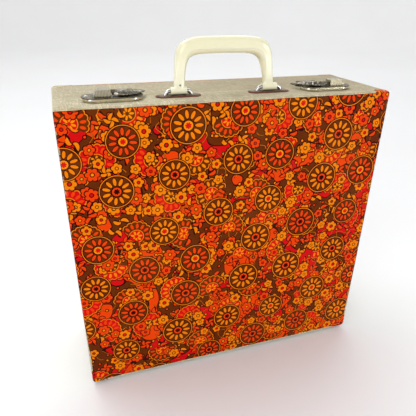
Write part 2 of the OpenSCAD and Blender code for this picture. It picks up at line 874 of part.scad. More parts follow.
// A ring round the spine at a point: its underside, half width, ridge height, and how far a tooth stands out
function frond_ring(at, way, base, w, ridge, tooth) =
    let (d = way / norm(way),
         n = [-d[1], d[0]],
         top = [for (c = frond_across)
             let (p = at + n * w * c,
                  h = frond_edge + (ridge - frond_edge) * (1 - pow(abs(c), 1.7)) * (1 - 0.35 * abs(c) * (1 - tooth)))
                 [p[0], p[1], base + h]],
         end = len(top) - 1)
        concat([[top[0][0], top[0][1], base]], top, [[top[end][0], top[end][1], base]]);
function curl_ring(s) =
    frond_ring(curl_at(s), [cos(360 * s), sin(360 * s)], strap_h1, curl_bar_w,
        curl_h + (frond_ridge(0) - curl_h) * s, 1);
function frond_base(t) = strap_h1 - frond_droop * pow(max(t - droop_from, 0) / (1 - droop_from), 2);
function frond_ridge(t) = frond_edge + (frond_h - frond_edge) * pow(sin(180 * (0.22 + 0.75 * t)), 0.9);
function frond_half_w(t) = curl_bar_w * (1 - t) + 0.35 * t
    + (frond_w - curl_bar_w) * pow(sin(174 * pow(t, 1.2)), 0.9);
function leaf_ring(t, tooth) =
    frond_ring(frond_at(t), frond_way(t), frond_base(t),
        frond_half_w(t) * (1 + min(t * 4, 1) * (0.1 + 0.3 * t) * (tooth - 0.5)), frond_ridge(t), tooth);

// A curl that runs out into a serrated leaf with a ridge, flat underneath
module frond() {
    stations = [for (i = [0 : frond_teeth - 1], f = frond_saw) [(i + f[0]) / frond_teeth, f[1]]];
    rings = concat([for (i = [0 : curl_steps - 1]) curl_ring(i / curl_steps)],
        [for (f = stations) leaf_ring(f[0], f[1])], [leaf_ring(1, 0)]);
    points = [for (r = rings) each r];
    n = len(frond_across) + 2;
    sides = [for (i = [0 : len(rings) - 2], k = [0 : n - 1])
        let (a = i * n + k,
             b = i * n + (k + 1) % n)
            each [[a, b, b + n], [a, b + n, a + n]]];
    first = [for (k = [1 : n - 2]) [0, k + 1, k]];
    last_0 = (len(rings) - 1) * n;
    last = [for (k = [1 : n - 2]) [last_0, last_0 + k, last_0 + k + 1]];
    polyhedron(points = points, faces = concat(sides, first, last), convexity = 6);
}

strap_mid = (strap_u0 + strap_u1) / 2;

// A flat strap with a knuckle at its back and a tongue into the pan at its front
module hasp(side) {
    color("#7d796c")
        at_latch(side) {
            difference() {
                union() {
                    translate([strap_mid, hasp_v, hasp_h])
                        rod_x(hasp_knuckle_r, strap_w);
                    translate([strap_u0, strap_v0, strap_h0])
                        cube([strap_w, hasp_v - strap_v0, strap_t]);
                }
                translate([strap_mid, hasp_v, hasp_h])
                    rod_x(hasp_bore_r, strap_w + 2 * cut);
            }
            translate([tongue_u0, tongue_v0, tongue_h0])
                cube([tongue_w, tongue_t, strap_h0 - tongue_h0 + strap_t / 2]);
        }
}

// The ornamental leaf, brazed on top of the strap
module hasp_frond(side) {
    color("#6f6b5e")
        at_latch(side)
            frond();
}

module hasp_leaf(side) {
    color("#8d897c")
        at_latch(side)
            difference() {
                union() {
                    translate([leaf_u0, hasp_v + hasp_knuckle_r + knuckle_gap, 0])
                        cube([leaf_u1 - leaf_u0, leaf_d - hasp_knuckle_r - knuckle_gap, leaf_t]);
                    for (u = [leaf_u0, leaf_u1 - leaf_knuckle_l])
                        translate([u, hasp_v, 0]) {
                            translate([leaf_knuckle_l / 2, 0, hasp_h])
                                rod_x(hasp_knuckle_r, leaf_knuckle_l);
                            cube([leaf_knuckle_l, hasp_knuckle_r, hasp_h]);
                            cube([leaf_knuckle_l, leaf_d, leaf_t]);
                        }
                }
                translate([(leaf_u0 + leaf_u1) / 2, hasp_v, hasp_h])
                    rod_x(hasp_bore_r, leaf_u1 - leaf_u0 + 2 * cut);
                at_leaf_rivets()
                    translate([0, 0, -cut])
                        cylinder(r = rivet_hole_r, h = leaf_t + 2 * cut);
            }
}

module hasp_pin(side) {
    color("#b0aca0")
        at_latch(side)
            translate([(leaf_u0 + leaf_u1) / 2, hasp_v, hasp_h]) {
                rod_x(hasp_pin_r, leaf_u1 - leaf_u0 + 2 * hole_clear);
                for (end = SIDES)
                    translate([end * ((leaf_u1 - leaf_u0) / 2 + hole_clear + pin_head_h / 2), 0, 0])
                        rod_x(hasp_pin_r + pin_head_lip, pin_head_h);
            }
}

module hasp_leaf_rivets() {
    color("#b5b09c")
        for (side = SIDES)
            at_latch(side)
                at_leaf_rivets() {
                    translate([0, 0, -wall_t - rivet_flat_h])
                        cylinder(r = rivet_head_r, h = rivet_flat_h);
                    translate([0, 0, -wall_t - rivet_flat_h / 2])
                        cylinder(r = rivet_r, h = wall_t + leaf_t + rivet_flat_h);
                    translate([0, 0, leaf_t])
                        cylinder(r = rivet_head_r, h = rivet_flat_h);
                }
}

// ---------- nodes ----------

module rear_frame() {
    color("#c8a878")
        difference() {
            frame(REAR);
            bottom_holes(1, foot_y_rear);
            rear_top_holes();
        }
}

module front_frame() {
    color("#c8a878")
        difference() {
            frame(FRONT);
            bottom_holes(-1, foot_y_front);
            front_top_holes();
        }
}

module rear_panel() {
    color("#8a6a45")
        panel(REAR);
}

module front_panel() {
    color("#8a6a45")
        panel(FRONT);
}

module rear_print() {
    color("#d9731d")
        print(REAR);
}

module front_print() {
    color("#d9731d")
        print(FRONT);
}

module rear_cloth() {
    color("#cfc9b2")
        difference() {
            cloth(REAR);
            bottom_holes(1, foot_y_rear);
            rear_top_holes();
        }
}

module front_cloth() {
    color("#cfc9b2")
        difference() {
            cloth(FRONT);
            bottom_holes(-1, foot_y_front);
            front_top_holes();
        }
}

module rear_lining() {
    color("#e2dac2")
        difference() {
            lining(REAR, rim_y(REAR) + cover_t);
            bottom_holes(1, foot_y_rear);
            rear_top_holes();
        }
}

module front_lining() {
    color("#e2dac2")
        difference() {
            lining(FRONT, rim_y(FRONT) - lip_reach - 2);
            bottom_holes(-1, foot_y_front);
            front_top_holes();
        }
}

// Three strips inside the top and the sides of the rear section's rim
module rim_lip() {
    y0 = rim_y(REAR) - lip_reach;
    y1 = rim_y(REAR) + lip_hold;
    inner_w = case_w - 2 * wall_t;
    side_h = case_h - 2 * wall_t - lip_t;
    color("#d8cfb4") {
        translate([-inner_w / 2, y0, top_z - wall_t - lip_t])
            cube([inner_w, y1 - y0, lip_t]);
        for (side = SIDES)
            translate([side * (inner_w - lip_t) / 2 - lip_t / 2, y0, bottom_z + wall_t])
                cube([lip_t, y1 - y0, side_h]);
    }
}

module rear_feet() {
    color("#b8b4a6")
        foot(foot_y_rear);
}

module front_feet() {
    color("#b8b4a6")
        foot(foot_y_front);
}

module rear_hinge_rivets() {
    hinge_rivets(1);
}

module front_hinge_rivets() {
    hinge_rivets(-1);
}

rear_frame();
rear_panel();
rear_print();
rear_cloth();
rear_lining();
rim_lip();
rear_feet();
rear_hinge_leaves();
hinge_pins();
rear_hinge_rivets();
hasp_leaf(LEFT);  // hasp_leaf_left
hasp_leaf(RIGHT);  // hasp_leaf_right
hasp_pin(LEFT);  // hasp_pin_left
hasp_pin(RIGHT);  // hasp_pin_right
hasp_leaf_rivets();
front_frame();
front_panel();
front_print();
front_cloth();
front_lining();
front_feet();
front_hinge_leaves();
front_hinge_rivets();
handle_washer(LEFT);  // handle_washer_left
handle_washer(RIGHT);  // handle_washer_right
handle_plate(LEFT);  // handle_plate_left
handle_plate(RIGHT);  // handle_plate_right
handle_loop(LEFT);  // handle_loop_left
handle_loop(RIGHT);  // handle_loop_right
handle_backing_plates();
latch_pan(LEFT);  // latch_pan_left
latch_pan(RIGHT);  // latch_pan_right
latch_plate(LEFT);  // latch_plate_left
latch_plate(RIGHT);  // latch_plate_right
latch_rivets(LEFT);  // latch_rivets_left
latch_rivets(RIGHT);  // latch_rivets_right
latch_spring(LEFT);  // latch_spring_left
latch_spring(RIGHT);  // latch_spring_right
handle();
latch_slide(LEFT);  // latch_slide_left
latch_slide(RIGHT);  // latch_slide_right
hasp(LEFT);  // hasp_left
hasp(RIGHT);  // hasp_right
hasp_frond(LEFT);  // hasp_frond_left
hasp_frond(RIGHT);  // hasp_frond_right
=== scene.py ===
import json
import math

import bmesh
import bpy
from mathutils import Matrix, Vector


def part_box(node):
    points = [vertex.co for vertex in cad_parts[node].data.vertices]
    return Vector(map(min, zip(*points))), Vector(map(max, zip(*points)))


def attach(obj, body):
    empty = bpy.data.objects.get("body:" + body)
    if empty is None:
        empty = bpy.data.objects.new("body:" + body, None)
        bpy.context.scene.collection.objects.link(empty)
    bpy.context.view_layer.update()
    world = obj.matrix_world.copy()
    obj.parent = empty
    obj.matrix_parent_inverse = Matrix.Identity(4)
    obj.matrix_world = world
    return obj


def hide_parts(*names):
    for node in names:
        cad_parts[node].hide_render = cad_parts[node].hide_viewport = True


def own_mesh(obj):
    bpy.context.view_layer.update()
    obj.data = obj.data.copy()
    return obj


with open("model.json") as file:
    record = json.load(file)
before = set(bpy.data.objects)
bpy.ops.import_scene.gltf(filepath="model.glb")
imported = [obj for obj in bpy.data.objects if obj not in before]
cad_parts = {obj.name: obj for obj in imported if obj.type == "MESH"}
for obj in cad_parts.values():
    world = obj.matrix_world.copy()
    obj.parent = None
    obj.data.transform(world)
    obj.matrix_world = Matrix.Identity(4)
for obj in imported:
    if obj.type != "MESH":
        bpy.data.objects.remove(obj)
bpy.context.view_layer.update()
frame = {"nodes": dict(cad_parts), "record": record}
NODES = frame["nodes"]

MM = 0.001
SIDES = ("left", "right")

# Values of part.scad, in millimetres and degrees
TOP_Z, BACK_Y = 331.2, 56.25
CASE_HALF_W, CASE_HALF_H, CASE_MID_Z = 175.0, 163.5, 167.7
CORNER_FOLD = 18.0
HANDLE_MID_X, HANDLE_AXIS_Y, HANDLE_AXIS_Z = -6.5, -28.25, 336.6
HANDLE_TILT = 10.0
HANDLE_RISE, HANDLE_LEAN = 49.7, 3.5
HANDLE_FOOT_X, LEG_W, GRIP_H = 53.5, 10.5, 16.3
INNER_POWER, OUTER_POWER = 7.5, 6.0

# Used by the materials only, in millimetres: how far the print is trimmed short, the width of the
# cloth turned in under the lining, heights on the handle above its axis, and where it is chipped
TRIMMED = 1.7
TURN_IN = 19.2
ARCH_START, GRIP_START, GRIP_FULL = 6.0, 24.0, 40.0
HANDLE_CHIP = (-54.3, -30.9, 341.9)


# ---------- small node-tree language ----------

def srgb(r, g, b):
    """Linear colour from 0-255 display values."""
    def linear(c):
        c /= 255
        return c / 12.92 if c <= 0.04045 else ((c + 0.055) / 1.055) ** 2.4
    return (linear(r), linear(g), linear(b), 1.0)


def scaled(colour, factor):
    """A lighter or darker colour of the same hue."""
    return tuple(min(c * factor, 1.0) for c in colour[:3]) + (1.0,)


def operator(name, swapped=False):
    """A Python operator for Val, which adds one Math node."""
    def apply(self, other):
        pair = (other, self) if swapped else (self, other)
        return self.g.math(name, *pair)
    return apply


class Val:
    """A socket with arithmetic. A comparison gives 1 where it is true and 0 elsewhere."""

    def __init__(self, g, socket):
        self.g, self.socket = g, socket

    def __abs__(self):
        return self.g.math("ABSOLUTE", self)

    __add__ = operator("ADD")
    __radd__ = operator("ADD", swapped=True)
    __sub__ = operator("SUBTRACT")
    __rsub__ = operator("SUBTRACT", swapped=True)
    __mul__ = operator("MULTIPLY")
    __rmul__ = operator("MULTIPLY", swapped=True)
    __truediv__ = operator("DIVIDE")
    __pow__ = operator("POWER")
    __lt__ = operator("LESS_THAN")
    __gt__ = operator("GREATER_THAN")


class Graph:
    """Builds one material's node tree."""

    def __init__(self, name):
        self.material = bpy.data.materials.new(name)
        self.material.use_nodes = True
        self.tree = self.material.node_tree
        self.tree.nodes.clear()
        out = self.node("ShaderNodeOutputMaterial")
        self.bsdf = self.node("ShaderNodeBsdfPrincipled")
        self.tree.links.new(self.bsdf.outputs[0], out.inputs["Surface"])

    def node(self, kind, **settings):
        n = self.tree.nodes.new(kind)
        for key, value in settings.items():
            setattr(n, key, value)
        return n

    def put(self, socket, value):
        """Links a Val to a socket, or sets the socket's own value."""
        if isinstance(value, Val):
            self.tree.links.new(value.socket, socket)
        else:
            socket.default_value = value

    def put_all(self, n, values):
        for name, value in values.items():
            self.put(n.inputs[name], value)

    def math(self, op, *values, clamp=False):
        n = self.node("ShaderNodeMath", operation=op, use_clamp=clamp)
        for socket, value in zip(n.inputs, values):
            self.put(socket, value)
        return Val(self, n.outputs[0])

    def clamp(self, a):
        return self.math("ADD", a, 0.0, clamp=True)

    def vmath(self, op, *vectors):
        n = self.node("ShaderNodeVectorMath", operation=op)
        for socket, value in zip(n.inputs, vectors):
            self.put(socket, value)
        return Val(self, n.outputs["Value" if op == "LENGTH" else "Vector"])

    def enlarge(self, v, factor):
        return self.stretch(v, (factor, factor, factor))

    def stretch(self, v, factors):
        return self.vmath("MULTIPLY", v, factors)

    def shift(self, v, offset):
        return self.vmath("ADD", v, offset)

    def turn(self, v, degrees):
        n = self.node("ShaderNodeVectorRotate", rotation_type="Z_AXIS")
        self.put_all(n, {"Vector": v, "Angle": math.radians(degrees)})
        return Val(self, n.outputs[0])

    def split(self, v):
        n = self.node("ShaderNodeSeparateXYZ")
        self.put(n.inputs[0], v)
        return [Val(self, socket) for socket in n.outputs]

    def join(self, x, y, z=0.0):
        n = self.node("ShaderNodeCombineXYZ")
        self.put_all(n, {"X": x, "Y": y, "Z": z})
        return Val(self, n.outputs[0])

    def position(self):
        """Object coordinates in millimetres."""
        coordinates = self.node("ShaderNodeTexCoord")
        return self.enlarge(Val(self, coordinates.outputs["Object"]), 1.0 / MM)

    def normal(self):
        """The surface's normal as x, y, z."""
        geometry = self.node("ShaderNodeNewGeometry")
        return self.split(Val(self, geometry.outputs["Normal"]))

    def crevice(self):
        """0 in creases to 1 on ridges, about 0.5 on flat places."""
        geometry = self.node("ShaderNodeNewGeometry")
        return Val(self, geometry.outputs["Pointiness"])

    def openness(self, reach):
        """0 in hollows to 1 on open places, judged within reach millimetres."""
        n = self.node("ShaderNodeAmbientOcclusion", samples=8)
        n.inputs["Distance"].default_value = reach * MM
        return Val(self, n.outputs["AO"])

    def noise(self, v, size, detail=2.0, rough=0.5):
        """Noise whose blobs measure about size millimetres."""
        n = self.node("ShaderNodeTexNoise")
        self.put_all(n, {"Vector": v, "Scale": 1.0 / size, "Detail": detail, "Roughness": rough})
        return Val(self, n.outputs[0])

    def white(self, v):
        """Three random numbers for each place of v."""
        n = self.node("ShaderNodeTexWhiteNoise", noise_dimensions="3D")
        self.put(n.inputs["Vector"], v)
        return self.split(Val(self, n.outputs["Color"]))

    def steps(self, value, low, high):
        """Smooth 0 to 1 as value goes from low to high."""
        n = self.node("ShaderNodeMapRange", interpolation_type="SMOOTHSTEP")
        self.put_all(n, {"Value": value, "From Min": low, "From Max": high})
        return Val(self, n.outputs[0])

    def mix(self, share, a, b):
        """Colour a where share is 0, b where it is 1."""
        n = self.node("ShaderNodeMix", data_type="RGBA")
        factor, colour_a, colour_b = n.inputs[0], n.inputs[6], n.inputs[7]
        self.put(factor, share)
        self.put(colour_a, a)
        self.put(colour_b, b)
        return Val(self, n.outputs[2])

    def lay(self, col, colour, *masks):
        """Lays a colour over col where all masks are 1."""
        share = masks[0]
        for mask in masks[1:]:
            share = share * mask
        return self.mix(share, col, colour)

    def blotch(self, col, colour, share, noise, low, high):
        """Lays up to a share of a colour over col, as the noise goes from low to high."""
        return self.mix(self.steps(noise, low, high) * share, col, colour)

    def bump(self, height, depth):
        """Bump of a height times depth, in millimetres."""
        n = self.node("ShaderNodeBump")
        self.put(n.inputs["Height"], height)
        n.inputs["Strength"].default_value = 1.0
        n.inputs["Distance"].default_value = depth * MM
        return Val(self, n.outputs[0])

    def finish(self, **inputs):
        """Sets the shader's inputs, with _ for a space in their names, and gives the material."""
        for name, value in inputs.items():
            self.put(self.bsdf.inputs[name.replace("_", " ")], value)
        return self.material


# ---------- the floral print ----------

BROWN = srgb(96, 38, 2)
DARK = srgb(34, 1, 2)
ORANGE = srgb(236, 124, 0)
AMBER = srgb(241, 136, 0)
FLAME = srgb(229, 62, 0)
RED = srgb(206, 5, 13)


def scatter(g, u, v, size, turn, seed, jitter):
    """One spot in each cell of a turned lattice: distance, angle and three random numbers."""
    x, y, _ = g.split(g.enlarge(g.turn(g.join(u, v), turn), 1.0 / size))
    column = g.math("FLOOR", x)
    y = y + g.math("MODULO", column, 2.0) * 0.5
    row = g.math("FLOOR", y)
    r1, r2, r3 = g.white(g.join(column + seed, row + seed * 2.7, seed))
    across = (x - column - 0.5) * size - (r1 - 0.5) * jitter
    up = (y - row - 0.5) * size - (r2 - 0.5) * jitter
    return g.vmath("LENGTH", g.join(across, up)), g.math("ARCTAN2", up, across), r1, r2, r3


def rosette(g, r, a, petals, radius, notch, power=0.6):
    """Signed distance, nearly, to a flower with round petals."""
    lobe = abs(g.math("COSINE", a * (petals / 2.0))) ** power
    return r - (lobe * notch + (1.0 - notch)) * radius


def petals_ring(g, r, a, count, middle, half_l, half_w, pointed=False):
    """Below 0 inside a ring of oval or pointed petals round the middle of a flower."""
    half = math.pi / count
    folded = g.math("WRAP", a, half, -half)
    px = (r * g.math("COSINE", folded) - middle) / half_l
    py = r * g.math("SINE", folded) / half_w
    if pointed:
        return px * px + abs(py) - 1.0
    return px * px + py * py - 1.0


def ground(g, u, v):
    """Brown with outlined red and flame patches."""
    p = g.join(u, v)
    red = g.noise(p, 30.0, 0.0)
    flame = g.noise(g.shift(p, (311.0, 97.0, 40.0)), 26.0, 0.0)
    col = g.lay(BROWN, DARK, flame > 0.604)
    col = g.lay(col, FLAME, flame > 0.621)
    col = g.lay(col, DARK, red > 0.590)
    return g.lay(col, RED, red > 0.607)


def tendrils(g, u, v, col):
    """Outlined orange curls, in about half of the places."""
    p = g.join(u, v)
    curl = abs(g.noise(g.shift(p, (57.0, 13.0, 88.0)), 13.0, 0.0) - 0.5)
    shown = g.noise(g.shift(p, (7.0, 213.0, 18.0)), 24.0, 0.0) > 0.5
    col = g.lay(col, DARK, shown, curl < 0.026)
    return g.lay(col, ORANGE, shown, curl < 0.010)


def seeds(g, u, v, col):
    """Small outlined dots."""
    r, _, _, r2, r3 = scatter(g, u, v, size=8.6, turn=12, seed=5.0, jitter=2.6)
    shown = r2 > 0.55
    col = g.lay(col, DARK, shown, r < 2.2)
    return g.lay(col, g.mix(r3 > 0.5, AMBER, FLAME), shown, r < 1.2)


def sprigs(g, u, v, col, size, turn, seed, leaves, half_l, half_w):
    """Swirled pointed leaves that meet in one point."""
    r, a, r1, r2, r3 = scatter(g, u, v, size, turn, seed, jitter=3.5)
    a = a + r3 * math.tau + r * 0.16
    shown = r2 > 0.46
    leaf = petals_ring(g, r, a, leaves, half_l + 0.5, half_l, half_w, pointed=True)
    col = g.lay(col, DARK, shown, leaf < 0.62)
    return g.lay(col, g.mix(r1 > 0.32, ORANGE, FLAME), shown, leaf < 0.0)


def half_rosettes(g, u, v, col):
    """Large halved flowers: a notched rim, a fan of petals, and a small flower in the middle."""
    r, a, r1, r2, r3 = scatter(g, u, v, size=45.0, turn=-23, seed=23.0, jitter=8.0)
    a = a + r3 * math.tau
    kept = r * g.math("SINE", a) > -3.5
    rim = rosette(g, r, a, petals=18, radius=18.0, notch=0.10, power=0.5)
    col = g.lay(col, DARK, kept, rim < 1.1)
    col = g.lay(col, ORANGE, kept, rim < 0.0)
    col = g.lay(col, g.mix(r1 > 0.5, BROWN, RED), kept, rim < -1.0)
    fan = petals_ring(g, r, a, count=14, middle=12.2, half_l=2.9, half_w=1.5)
    col = g.lay(col, g.mix(r2 > 0.5, FLAME, ORANGE), kept, fan < 0.0)
    col = g.lay(col, ORANGE, kept, r < 8.0)
    col = g.lay(col, g.mix(r1 > 0.5, RED, BROWN), kept, r < 7.2)
    inner = petals_ring(g, r, a, count=7, middle=4.0, half_l=2.3, half_w=1.1)
    return g.lay(col, AMBER, kept, inner < 0.0)


def small_flowers(g, u, v, col, size, turn, seed, petals, radius, hidden):
    """Round-petalled flowers with a dark ring and an eye; hidden is the share of them left out."""
    r, a, r1, r2, r3 = scatter(g, u, v, size, turn, seed, jitter=4.5)
    edge = rosette(g, r, a + r2 * math.tau, petals, radius, notch=0.38)
    shown = r3 > hidden
    col = g.lay(col, DARK, shown, edge < 1.1)
    fill = g.mix(r1 > 0.38, FLAME, ORANGE)
    fill = g.lay(fill, DARK, r < radius * 0.36)
    fill = g.lay(fill, g.mix(r2 > 0.5, AMBER, RED), r < radius * 0.22)
    return g.lay(col, fill, shown, edge < 0.0)


def daisies(g, u, v, col):
    """Large ringed discs with a wheel of petals and a star in the eye."""
    r, a, r1, r2, r3 = scatter(g, u, v, size=56.0, turn=17, seed=71.0, jitter=14.0)
    r = r * (r3 * 0.22 + 0.96)
    a = a + r3 * math.tau
    for radius, colour in ((18.7, DARK), (17.7, ORANGE), (16.8, DARK), (16.0, BROWN)):
        col = g.lay(col, colour, r < radius)
    petals = petals_ring(g, r, a, count=11, middle=10.7, half_l=4.0, half_w=1.7)
    col = g.lay(col, DARK, petals < 0.7)
    col = g.lay(col, g.mix(r1 > 0.4, FLAME, ORANGE), petals < 0.0)
    col = g.lay(col, DARK, r < 5.6)
    col = g.lay(col, g.mix(r2 > 0.5, AMBER, FLAME), r < 4.7)
    star = rosette(g, r, a, petals=7, radius=3.2, notch=0.45)
    return g.lay(col, g.mix(r2 > 0.5, RED, DARK), star < 0.0)


def floral(g, u, v):
    """A dense retro floral, laid from the ground up."""
    col = ground(g, u, v)
    col = tendrils(g, u, v, col)
    col = seeds(g, u, v, col)
    col = sprigs(g, u, v, col, size=15.0, turn=31, seed=11.0, leaves=2, half_l=3.9, half_w=2.3)
    col = sprigs(g, u, v, col, size=18.0, turn=-35, seed=17.0, leaves=4, half_l=3.3, half_w=1.9)
    col = half_rosettes(g, u, v, col)
    col = small_flowers(g, u, v, col, size=16.0, turn=-14, seed=37.0, petals=5, radius=5.4, hidden=0.58)
    col = small_flowers(g, u, v, col, size=22.0, turn=9, seed=53.0, petals=6, radius=6.8, hidden=0.50)
    return daisies(g, u, v, col)


# ---------- cloth, print and paper ----------

# The rear linen is a slightly darker copy of the linen, as painted shade
# The soil colour is laid both as real soil and as painted shade on the tops of the cloth
LINEN, REAR_LINEN_SHADED, SOIL_AND_SHADE = srgb(212, 200, 165), srgb(207, 195, 161), srgb(146, 129, 94)
THREAD, WEAVE_DEPTH = 0.9, 0.09


def to_edges(x, z):
    """Distances inwards from the case's nearer side and from its nearer end."""
    return CASE_HALF_W - abs(x), CASE_HALF_H - abs(z - CASE_MID_Z)


def weave(g, pos, base, dirt_and_shade, thread):
    """Colour and height of linen-weave bookcloth: uneven threads along the two axes in the face."""
    x, y, z = g.split(pos)
    threads, slubs = 0.0, 0.0
    for i, (axis, facing) in enumerate(zip((x, y, z), g.normal())):
        along = [0.10, 0.10, 0.10]
        along[i] = 1.0
        drift = g.noise(g.stretch(pos, along), 1.2, 3.0, 0.65)
        shown = 1.0 - abs(facing)
        wave = g.math("SINE", axis * (math.tau / thread) + drift * 5.0)
        threads = threads + wave * (0.3 + drift) * shown
        slubs = slubs + g.steps(drift, 0.50, 0.74) * shown
    dark = scaled(base, 0.40)
    col = g.mix(g.steps(threads, -1.3, 0.5), dark, base)
    col = g.mix(g.clamp(slubs), col, scaled(base, 1.40))
    # mottling
    col = g.blotch(col, dark, 0.26, g.noise(pos, 2.2, 3.0, 0.65), 0.46, 0.70)
    # painted shade: the top is laid darker from the handle towards the right, and less so along its front,
    # as the light falls from the left and front
    painted_top_shade = g.steps(x, -150.0, 140.0) * 0.52 * (1.0 - g.steps(y, -40.0, -54.0) * 0.5)
    col = g.lay(col, dirt_and_shade, z > TOP_Z - 1.0, painted_top_shade)
    # soil and stains
    col = g.blotch(col, dirt_and_shade, 0.42, g.noise(pos, 26.0, 5.0, 0.62), 0.44, 0.76)
    col = g.blotch(col, dirt_and_shade, 0.40, g.noise(pos, 7.0, 4.0, 0.7), 0.60, 0.72)
    return col, threads * 0.5 + slubs * 1.4


def cloth_finish(g, col, height, depth):
    """Sets the shader of a bookcloth from its colour and the height of its threads."""
    return g.finish(Base_Color=col, Roughness=0.8, Normal=g.bump(height, depth), Sheen_Weight=0.08)


def cloth_material(name, base, dirt_and_shade, thread=THREAD, depth=WEAVE_DEPTH):
    """Plain bookcloth, with its threads that many millimetres apart."""
    g = Graph(name)
    col, height = weave(g, g.position(), base, dirt_and_shade, thread)
    return cloth_finish(g, col, height, depth)


def rear_cloth_material():
    """Bookcloth whose top is laid darker than the front's, as painted shade, with the sliver of print that
    is turned over its back edges.
    """
    g = Graph("rear_bookcloth")
    pos = g.position()
    x, y, z = g.split(pos)
    col, height = weave(g, pos, REAR_LINEN_SHADED, SOIL_AND_SHADE, THREAD)
    # painted shade: the rear section's top is laid darker than the front's
    col = g.mix((z > TOP_Z - 1.0) * 0.27, col, SOIL_AND_SHADE)
    sliver = g.noise(pos, 14.0, 2.0)
    ink = g.mix(g.noise(pos, 7.0, 1.0) > 0.5, srgb(214, 92, 40), srgb(176, 52, 36))
    ink = g.mix(g.steps(x, 20.0, 110.0), ink, srgb(196, 166, 116))
    col = g.mix((BACK_Y - y < sliver * 4.0 + 1.6) * 0.95, col, ink)
    return cloth_finish(g, col, height, WEAVE_DEPTH)


def print_material():
    """The printed paper, with linen where the sheet is trimmed short or the cloth lies over it."""
    g = Graph("floral_print")
    pos = g.position()
    x, y, z = g.split(pos)
    # the sheet is unfolded over the edges, so the pattern runs on round them
    behind = BACK_Y - abs(y)
    u = x + g.math("SIGN", x) * behind
    v = z + g.math("SIGN", z - CASE_MID_Z) * behind
    # the back has its own piece of the print
    back = y > 0.0
    col = floral(g, u + back * 131.0, v + back * 57.0)
    # fading and the printing screen
    col = g.blotch(col, srgb(246, 150, 60), 0.05, g.noise(pos, 60.0, 3.0, 0.6), 0.4, 0.8)
    grain = g.noise(pos, 0.55, 2.0, 0.6)
    col = g.blotch(col, srgb(240, 150, 90), 0.10, grain, 0.62, 0.9)
    # rubbed edges and scuffs
    to_side, to_end = to_edges(x, z)
    to_edge = g.math("MINIMUM", to_side, to_end)
    worn = g.steps(g.noise(pos, 4.5, 4.0, 0.7), 0.56, 0.66) * (1.0 - g.steps(to_edge, 0.15, 2.2))
    scuff = g.steps(g.noise(pos, 9.0, 6.0, 0.75), 0.70, 0.76)
    col = g.mix(g.math("MAXIMUM", worn, scuff * 0.2), col, srgb(226, 196, 158))
    # between the corners the sheet is trimmed just short of the edge, where the cloth shows,
    # and at the top left corners the cloth lies over the fold too
    on_top = z > TOP_Z + 0.02
    covered = (z > CASE_MID_Z) * (x < 0.0)
    corner = (to_side < CORNER_FOLD) * (to_end < CORNER_FOLD) * (1.0 - covered)
    uneven = (g.noise(pos, 22.0, 1.0) - 0.5) * 1.2
    side_trim = (1.0 - g.steps(z, 20.0, 120.0)) * TRIMMED
    spare = g.math("MINIMUM", to_end - TRIMMED, to_side - side_trim) - uneven
    rim = (spare < 0.5) * (1.0 - corner)
    # painted shadow: a thin dark line along the sheet's trimmed edge, where the cloth meets it
    col = g.mix(rim * 0.75, col, DARK)
    bare = g.math("MAXIMUM", (spare < 0.0) * (1.0 - corner), on_top * covered)
    # the back fold at the right has worn to the board
    col = g.mix(on_top * back * 0.85, col, srgb(190, 164, 118))
    linen, linen_height = weave(g, pos, LINEN, SOIL_AND_SHADE, THREAD)
    col = g.mix(bare, col, linen)
    screen = g.math("SINE", u * 9.0) * g.math("SINE", v * 9.0)
    height = (screen * 0.5 + grain) * 0.3 + bare * linen_height
    rough = 0.36 + grain * 0.18 + bare * 0.35
    return g.finish(Base_Color=col, Roughness=rough, Normal=g.bump(height, WEAVE_DEPTH),
                    Specular_IOR_Level=0.04)


def paper_material(name, base, line):
    """Lining paper, faintly laid and foxed; the turned-in margin shows through round the panels."""
    g = Graph(name)
    pos = g.position()
    x, _, z = g.split(pos)
    fibre = g.noise(g.stretch(pos, (1.0, 1.0, 3.0)), 1.3, 4.0, 0.65)
    laid = g.math("SINE", z * 2.6 + fibre)
    col = g.blotch(base, line, 0.55, g.noise(pos, 55.0, 3.0, 0.5), 0.3, 0.8)
    col = g.blotch(col, line, 0.10, laid, 0.0, 1.0)
    col = g.blotch(col, line, 0.25, fibre, 0.55, 0.75)
    flat = abs(g.normal()[1]) > 0.7
    margin = g.math("MINIMUM", *to_edges(x, z)) + (fibre - 0.5) * 1.2
    under = flat * g.steps(margin, TURN_IN + 0.4, TURN_IN - 0.4)
    crease = flat * (1.0 - g.steps(abs(margin - TURN_IN), 0.0, 0.7))
    col = g.mix(g.clamp(under * 0.25 + crease * 0.30), col, line)
    # fox spots and rubs
    col = g.blotch(col, srgb(160, 116, 66), 0.45, g.noise(pos, 3.5, 3.0, 0.6), 0.70, 0.78)
    rubs = g.noise(g.stretch(pos, (1.0, 1.0, 0.15)), 5.0, 4.0, 0.7)
    col = g.blotch(col, srgb(176, 160, 124), 0.22, rubs, 0.60, 0.75)
    height = laid * 0.3 + fibre + under * 5.0
    return g.finish(Base_Color=col, Roughness=0.82, Normal=g.bump(height, 0.05))


# ---------- metal, plastic, fibre and board ----------

